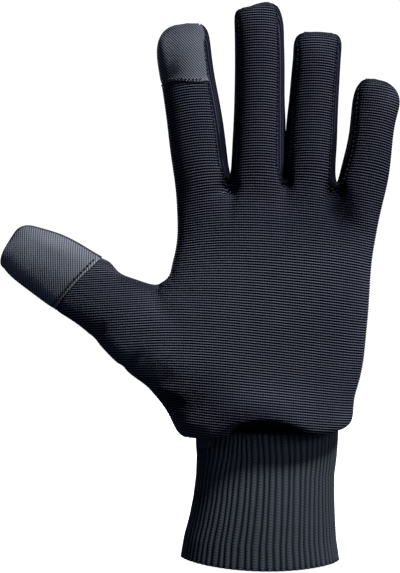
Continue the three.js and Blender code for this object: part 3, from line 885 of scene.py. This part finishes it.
# The sewing thread
#
# Black thread holds the shell together: a row of plain stitches through each patch's turned edge, and short
# stitches over the seams of the side strips. Round the tips and along the hand's edges the seam's own
# rolled edge shows as a thin black cord.

THREAD = (0.0022, 0.0024, 0.0048)
PATCH_ROWS = (
    {"name": "index_patch_stitches", "on": "index_patch", "by": ("palm_panel",), "inside": 1.1,
     "pitch": 1.6, "long": 1.05, "thick": 0.75, "ends": 0.15},
    {"name": "index_patch_side_stitches", "on": "index_patch", "by": ("fourchette_index_middle",),
     "inside": 0.6, "pitch": 1.5, "long": 0.9, "thick": 0.5, "ends": 0.06},
    {"name": "thumb_patch_stitches", "on": "thumb_patch", "by": ("palm_panel",), "inside": 1.6,
     "pitch": 2.0, "long": 1.4, "thick": 1.0, "ends": 0.17},
)
PATCH_ROW_RAISE = 0.6
STRIP_ROW = {"inside": 0.0, "raise": 0.4, "pitch": 2.1, "long": 1.25, "thick": 0.7, "ends": 0.05}
ROLLED_EDGES = (
    {"name": "index_patch_edge", "on": "index_patch", "by": ("back_panel",), "thick": 0.42, "raise": 0.15},
    {"name": "thumb_patch_edge", "on": "thumb_patch", "by": ("back_panel",), "thick": 0.65, "raise": 0.3},
    {"name": "side_seam_edge", "on": "palm_panel", "by": ("back_panel",), "thick": 0.36, "raise": -0.05},
)
STITCH_SIDES = 6
STITCH_RINGS = 5
EDGE_SIDES = 8


def seam_line(name, row):
    """The seams of one row as a mesh of edges on the skin, with the skin's normal on its points."""
    edges = [edge for other in row["by"] for edge in seams.get(frozenset((row["on"], other)), ())]
    corners = corners_of(edges)
    place = {corner: index for index, corner in enumerate(corners)}
    points = skin_points[corners] + skin_normals[corners] * row["raise"]
    if row.get("inside"):
        number = SHELL_NODES.index(row["on"])
        inward = np.zeros_like(points)
        for face, piece in zip(skin_faces, skin_piece):
            for corner in face if piece == number else ():
                if corner in place:
                    inward[place[corner]] += skin_points[list(face)].mean(0) - skin_points[corner]
        points += row["inside"] * inward / np.linalg.norm(inward, axis=1)[:, None]
    mesh = bpy.data.meshes.new(name)
    mesh.from_pydata((points * MM).tolist(), [(place[start], place[end]) for start, end in edges], [])
    outward = mesh.attributes.new("outward", "FLOAT_VECTOR", "POINT")
    outward.data.foreach_set("vector", skin_normals[corners].ravel())
    return add_object(name, mesh)


class Recipe(Nodes):
    """A Geometry Nodes tree with named number inputs."""

    def __init__(self, name, labels, material):
        super().__init__(bpy.data.node_groups.new(name, "GeometryNodeTree"))
        face = self.tree.interface
        face.new_socket("Geometry", in_out="INPUT", socket_type="NodeSocketGeometry")
        self.sockets = {}
        for label in labels:
            socket = face.new_socket(label, in_out="INPUT", socket_type="NodeSocketFloat")
            self.sockets[label] = socket.identifier
        face.new_socket("Geometry", in_out="OUTPUT", socket_type="NodeSocketGeometry")
        self.given = self.tree.nodes.new("NodeGroupInput").outputs
        self.material = material

    def close(self, geometry):
        real = self.node("GeometryNodeRealizeInstances", [("Geometry", geometry)])
        paint = [("Geometry", real.outputs[0]), ("Material", self.material)]
        painted = self.node("GeometryNodeSetMaterial", paint)
        self.node("NodeGroupOutput", [("Geometry", painted.outputs[0])])

    def made_on(self, line, numbers):
        """A plain mesh object: the tree's result on a line, which is then removed."""
        maker = line.modifiers.new("maker", "NODES")
        maker.node_group = self.tree
        for label, value in numbers.items():
            maker[self.sockets[label]] = value
        mesh = bpy.data.meshes.new_from_object(line.evaluated_get(bpy.context.evaluated_depsgraph_get()))
        name = line.name
        bpy.data.objects.remove(line)
        return add_object(name, mesh)


def stitch_recipe(material):
    """Small rounded stitches along a line, which starts and stops a share of its length short of its ends."""
    recipe = Recipe("stitches", ("Pitch", "Long", "Thick", "Ends"), material)
    given = recipe.given
    curve = recipe.node("GeometryNodeMeshToCurve", [("Mesh", given["Geometry"])]).outputs[0]
    last = recipe.node("ShaderNodeMath", [(0, 1.0), (1, given["Ends"])], operation="SUBTRACT").outputs[0]
    ends = [("Start", given["Ends"]), ("End", last)]
    trimmed = recipe.node("GeometryNodeTrimCurve", [("Curve", curve), *ends])
    spacing = [("Curve", trimmed.outputs[0]), ("Length", given["Pitch"])]
    even = recipe.node("GeometryNodeResampleCurve", spacing, mode="LENGTH")
    outward = recipe.node("GeometryNodeInputNamedAttribute", [("Name", "outward")], data_type="FLOAT_VECTOR")
    along = recipe.node("GeometryNodeInputTangent").outputs[0]
    level = recipe.node("FunctionNodeAlignRotationToVector", [("Vector", along)], axis="X")
    upright = recipe.node(
        "FunctionNodeAlignRotationToVector",
        [("Rotation", level.outputs[0]), ("Vector", outward.outputs["Attribute"])],
        axis="Z",
        pivot_axis="X",
    )
    # A ball of width 1, which the stitch's own length and thickness then scale
    unit = [("Segments", STITCH_SIDES), ("Rings", STITCH_RINGS), ("Radius", 0.5)]
    ball = recipe.node("GeometryNodeMeshUVSphere", unit)
    widths = [("X", given["Long"]), ("Y", given["Thick"]), ("Z", given["Thick"])]
    size = recipe.node("ShaderNodeCombineXYZ", widths)
    placed = recipe.node(
        "GeometryNodeInstanceOnPoints",
        [
            ("Points", even.outputs[0]),
            ("Instance", ball.outputs["Mesh"]),
            ("Rotation", upright.outputs[0]),
            ("Scale", size.outputs[0]),
        ],
    )
    recipe.close(placed.outputs[0])
    return recipe


def edge_recipe(material):
    """A thin round cord along a line."""
    recipe = Recipe("rolled_edge", ("Thick",), material)
    given = recipe.given
    curve = recipe.node("GeometryNodeMeshToCurve", [("Mesh", given["Geometry"])]).outputs[0]
    circle = [("Resolution", EDGE_SIDES), ("Radius", given["Thick"])]
    ring = recipe.node("GeometryNodeCurvePrimitiveCircle", circle)
    sweep = [("Curve", curve), ("Profile Curve", ring.outputs[0]), ("Fill Caps", True)]
    cord = recipe.node("GeometryNodeCurveToMesh", sweep)
    recipe.close(cord.outputs[0])
    return recipe


thread = Finish("black_thread", roughness=0.6, specular=0.25)
thread.shader.inputs["Base Color"].default_value = (*THREAD, 1)
stitches = stitch_recipe(thread.material)
rows = [{**row, "raise": PATCH_ROW_RAISE} for row in PATCH_ROWS]
for strip in STRIP_NODES:
    row = {**STRIP_ROW, "on": strip}
    rows.append({**row, "name": strip + "_front_stitches", "by": ("palm_panel", "index_patch")})
    rows.append({**row, "name": strip + "_back_stitches", "by": ("back_panel",)})
for row in rows:
    sizes = {label: row[label.lower()] * MM for label in ("Pitch", "Long", "Thick")}
    sizes["Ends"] = row["ends"]
    sewn = stitches.made_on(seam_line(row["name"], row), sizes)
    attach(sewn, "root")

rolled_edge = edge_recipe(thread.material)
for row in ROLLED_EDGES:
    cord = rolled_edge.made_on(seam_line(row["name"], row), {"Thick": row["thick"] * MM})
    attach(cord, "root")

# The cuff
#
# A tube of thick rib knit, sewn under the shell's gathered lower edge. Its ribs run round the wrist side by
# side from the hem up, and near the gather at its top they are drawn towards the stitched point.

# Up the cuff: height, left and right side, and half of the depth
CUFF_ROWS = (
    (0.0, -35.9, 34.0, 22.4),
    (10.0, -34.3, 32.6, 22.0),
    (19.0, -32.0, 32.1, 21.5),
    (28.0, -30.3, 31.8, 20.5),
    (38.0, -29.1, 31.8, 19.0),
    (47.0, -28.8, 32.9, 17.3),
    (52.0, -29.2, 33.3, 16.8),
    (58.0, -29.2, 33.6, 16.6),
    (65.0, -27.6, 31.6, 16.4),
)
CUFF_HEM = {"rise": 1.95, "tilt": 0.7, "dip": 2.5, "fades_at": 47.0}
CUFF_RIBS = 70
CUFF_COLUMNS_PER_RIB = 8
CUFF_ROW_STEP = 0.5
CUFF_LINING_STEP = 5.0
CUFF_RIB_HEIGHT = 0.5
CUFF_UNEVEN = {"seed": 7, "by": 0.12, "wave": 15.0}
# Painted shade on the cuff towards its left side; it is also darker along its bottom edge
CUFF_SHADE = {"from_turn": (0.74, 0.96), "from_z": (0.6, 2.0)}
# Painted shade on the cuff under the shell's edge and at its left side, and painted light where the amount is
# below 0
CUFF_PLACES = (
    (22.0, 43.5, 12.0, 4.5, 0.5),
    (1.0, 49.0, 11.0, 2.5, -0.4),
    (-22.0, 53.0, 11.0, 3.5, 1.3),
    (-29.0, 27.0, 6.0, 14.0, 0.4),
)
CUFF_WALL = 1.5
CUFF_PROFILE = (0.0, 0.35, 0.75, 0.95, 1.0, 0.95, 0.75, 0.35)
CUFF_GATHER = {"turn": 4.36, "from_z": 34.0, "to_z": 62.0, "left": 0.45, "right": 0.15, "reach": 0.75}
CUFF_STITCH_PITCH = 1.25
CUFF_STITCH_RELIEF = 0.06
CUFF_STITCH_LEAN = 0.6

# The front of the cuff's top is tucked back under the lifted hem, below a puckered lip
CUFF_TUCK = {"at_x": 4.0, "reach_x": 22.0, "from_z": 57.2, "to_z": 60.0, "depth": 11.0}
CUFF_LIP = {"at_x": -4.0, "reach_x": 12.0, "at_z": 56.8, "reach_z": 1.1, "height": 1.0,
            "pucker": 0.8, "pucker_pitch": 2.6}


def uneven_turns(z):
    """Places round the cuff at a height, each rib a little off its even place and swaying as it rises."""
    columns = CUFF_RIBS * CUFF_COLUMNS_PER_RIB
    chance = np.random.default_rng(CUFF_UNEVEN["seed"])
    phases = chance.uniform(0, math.tau, CUFF_RIBS)
    sway = np.sin(phases + z / CUFF_UNEVEN["wave"]) * CUFF_UNEVEN["by"]
    places = np.arange(columns) / CUFF_COLUMNS_PER_RIB
    return (places + np.interp(places, np.arange(CUFF_RIBS), sway, period=CUFF_RIBS)) / CUFF_RIBS * math.tau


def gathered(turns, z):
    """Places round the cuff, drawn towards the tacked point near the cuff's top."""
    away = CUFF_GATHER["turn"] - turns
    pull = np.where(away > 0, CUFF_GATHER["left"], CUFF_GATHER["right"])
    hold = smooth_step(z, CUFF_GATHER["from_z"], CUFF_GATHER["to_z"])
    return turns + away * pull * hold * np.exp(-((away / CUFF_GATHER["reach"]) ** 2))


def stitch_lean(columns):
    """How far each column's stitches sit above those on the rib's middle: a V on each rib, every other rib
    half a stitch on."""
    ribs, within = np.divmod(np.arange(columns), CUFF_COLUMNS_PER_RIB)
    return CUFF_STITCH_LEAN * np.abs(within / CUFF_COLUMNS_PER_RIB - 0.5) + 0.5 * (ribs % 2)


def cuff_row(z, ridge, wall):
    """One ring of the cuff's corners at a height; wall is 0 outside and the cuff's thickness inside."""
    turns = uneven_turns(z)
    heights, lefts, rights, depths = np.array(CUFF_ROWS).T
    left, right, depth = (np.interp(z, heights, side) for side in (lefts, rights, depths))
    round_it = gathered(turns, z)
    x, front = (left + right) / 2 + (right - left) / 2 * np.cos(round_it), np.maximum(0, -np.sin(round_it))
    tuck = CUFF_TUCK["depth"] * smooth_step(z, CUFF_TUCK["from_z"], CUFF_TUCK["to_z"])
    tuck = tuck * front * np.exp(-(((x - CUFF_TUCK["at_x"]) / CUFF_TUCK["reach_x"]) ** 4))
    out = -wall - tuck
    if not wall:
        stitch = CUFF_STITCH_RELIEF * np.cos((z / CUFF_STITCH_PITCH + stitch_lean(len(turns))) * math.tau)
        across = (x - CUFF_LIP["at_x"]) / CUFF_LIP["reach_x"]
        up = (z - CUFF_LIP["at_z"]) / CUFF_LIP["reach_z"]
        lip = CUFF_LIP["height"] * np.exp(-(across**4) - up**2) * front
        lip *= 1 - CUFF_LIP["pucker"] * np.sin(x / CUFF_LIP["pucker_pitch"] * math.pi) ** 2
        out = out + (ridge - 1) * CUFF_RIB_HEIGHT + stitch * ridge + lip
    x = x + out * np.cos(round_it)
    y = (depth + out) * np.sin(round_it)
    rise = CUFF_HEM["rise"] - CUFF_HEM["tilt"] * np.cos(turns) - CUFF_HEM["dip"] * np.sin(turns) ** 2
    return np.stack((x, y, z + rise * np.clip(1 - z / CUFF_HEM["fades_at"], 0, 1)), 1)


def knitted_cuff():
    columns = CUFF_RIBS * CUFF_COLUMNS_PER_RIB
    ridge = np.array(CUFF_PROFILE)[np.arange(columns) % CUFF_COLUMNS_PER_RIB]
    low, top = CUFF_ROWS[0][0], CUFF_ROWS[-1][0]
    lean = stitch_lean(columns)
    outside = np.arange(low, top + CUFF_ROW_STEP / 2, CUFF_ROW_STEP)
    lining = np.arange(top, low - CUFF_LINING_STEP / 2, -CUFF_LINING_STEP)
    points = [cuff_row(z, ridge, 0) for z in outside] + [cuff_row(z, ridge, CUFF_WALL) for z in lining]
    # Painted shade on the cuff: towards its left side, along its bottom edge and at the listed places
    side = smooth_step(-np.cos(np.arange(columns) / columns * math.tau), *CUFF_SHADE["from_turn"])
    hem = 1 - smooth_step(np.concatenate((outside, lining)), *CUFF_SHADE["from_z"])
    shades = [np.maximum(side, edge) + sum_near(ring, CUFF_PLACES) for edge, ring in zip(hem, points)]
    marks = {
        "closed_knit_and_painted_shade": np.concatenate(shades),
        "ridge": np.concatenate((np.tile(ridge, len(outside)), np.zeros(columns * len(lining)))),
        "wale": np.concatenate([z / CUFF_STITCH_PITCH + lean for z in np.concatenate((outside, lining))]),
    }
    faces = []
    for row in range(len(points)):
        here, there = row * columns, (row + 1) % len(points) * columns
        for column in range(columns):
            after = (column + 1) % columns
            faces.append((here + column, here + after, there + after, there + column))
    return add_cloth("cuff_cloth", np.concatenate(points), faces, marks)


# Colours of the cuff: its gap colour, shown low on each rib and between two loops, is painted shade
CUFF_GAP = (0.012, 0.015, 0.021)
CUFF_CREST = (0.040, 0.046, 0.056)
CUFF_CREST_WORN = (0.064, 0.070, 0.082)

cuff = knitted_cuff()
cuff_knit = knit_finish(
    "cuff_knit", CUFF_GAP, CUFF_CREST, CUFF_CREST_WORN, bare=(0.0, 0.6), loop_depth=(0.4, 0.5)
)
cuff.data.materials.append(cuff_knit)
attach(cuff, "root")
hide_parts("cuff")

# The studio
#
# A plain white floor under the cuff and white all round. A small spot shines from above, in front and the
# right, with a weak area light below it, one more behind the glove and a faint bluish light from the room.
# The camera looks level at the palm.

FLOOR_SIZE = 6.0
FLOOR_DROP = 0.0012
PAPER = {"colour": 0.92, "glow": 1.02}
KEY_LIGHT = {"at": (0.51, -0.425, 1.02), "aim": (-0.100, 0.0, 0.080), "size": 0.12,
             "cone": 27.0, "power": 123.0}
FRONT_LIGHT = {"at": (0.74, -0.62, 0.42), "aim": (-0.01, 0.0, 0.08), "size": 0.3, "power": 2.6}
BACK_LIGHT = {"at": (-0.38, 1.0, 0.50), "aim": (0.0, 0.0, 0.12), "size": 0.5, "power": 9.0}
ROOM_LIGHT = {"strength": 0.14, "colour": (0.50, 0.62, 1.0)}
WHITE_BACKDROP = 1.1
CAMERA_AIM = (-0.0273, 0.1212)
CAMERA_DISTANCE = 0.750
FRAME_HEIGHT = 0.2521
SENSOR_WIDTH = 36.0

floor_mesh = bpy.data.meshes.new("floor")
half = FLOOR_SIZE / 2
floor_sides = ((-half, -half), (half, -half), (half, half), (-half, half))
floor_mesh.from_pydata([(x, y, -FLOOR_DROP) for x, y in floor_sides], [], [(0, 1, 2, 3)])
floor = add_object("floor", floor_mesh)
paper = Finish("white_paper", roughness=0.9, specular=0.1)
paper.shader.inputs["Base Color"].default_value = (*(PAPER["colour"],) * 3, 1)
paper.shader.inputs["Emission Color"].default_value = (1, 1, 1, 1)
paper.shader.inputs["Emission Strength"].default_value = PAPER["glow"]
floor.data.materials.append(paper.material)
floor.visible_diffuse = False
floor.visible_glossy = False


def hang_light(name, kind, light):
    lamp = bpy.data.lights.new(name, kind)
    lamp.energy = light["power"]
    holder = add_object(name, lamp)
    holder.location = light["at"]
    holder.rotation_euler = (Vector(light["aim"]) - Vector(light["at"])).to_track_quat("-Z", "Y").to_euler()
    return lamp


key = hang_light("key", "SPOT", KEY_LIGHT)
key.shadow_soft_size = KEY_LIGHT["size"]
key.spot_size = math.radians(KEY_LIGHT["cone"])
key.spot_blend = 1.0
hang_light("front", "AREA", FRONT_LIGHT).size = FRONT_LIGHT["size"]
hang_light("back", "AREA", BACK_LIGHT).size = BACK_LIGHT["size"]

room = bpy.data.worlds.new("room")
room.use_nodes = True
air = Nodes(room.node_tree)
backdrop = air.tree.nodes["Background"]
seen = air.node("ShaderNodeLightPath").outputs["Is Camera Ray"]
strengths = [("Value", seen), ("To Min", ROOM_LIGHT["strength"]), ("To Max", WHITE_BACKDROP)]
strength = air.node("ShaderNodeMapRange", strengths)
colours = [("Fac", seen), ("Color1", (*ROOM_LIGHT["colour"], 1)), ("Color2", (1, 1, 1, 1))]
colour = air.node("ShaderNodeMixRGB", colours)
air.tree.links.new(strength.outputs["Result"], backdrop.inputs["Strength"])
air.tree.links.new(colour.outputs["Color"], backdrop.inputs["Color"])
bpy.context.scene.world = room
bpy.context.scene.view_settings.view_transform = "Standard"

lens = bpy.data.cameras.new("camera")
lens.sensor_width = SENSOR_WIDTH
lens.lens = lens.sensor_width * CAMERA_DISTANCE / FRAME_HEIGHT
camera = add_object("camera", lens)
camera.location = (CAMERA_AIM[0], -CAMERA_DISTANCE, CAMERA_AIM[1])
camera.rotation_euler = (math.radians(90), 0, 0)
bpy.context.scene.camera = camera
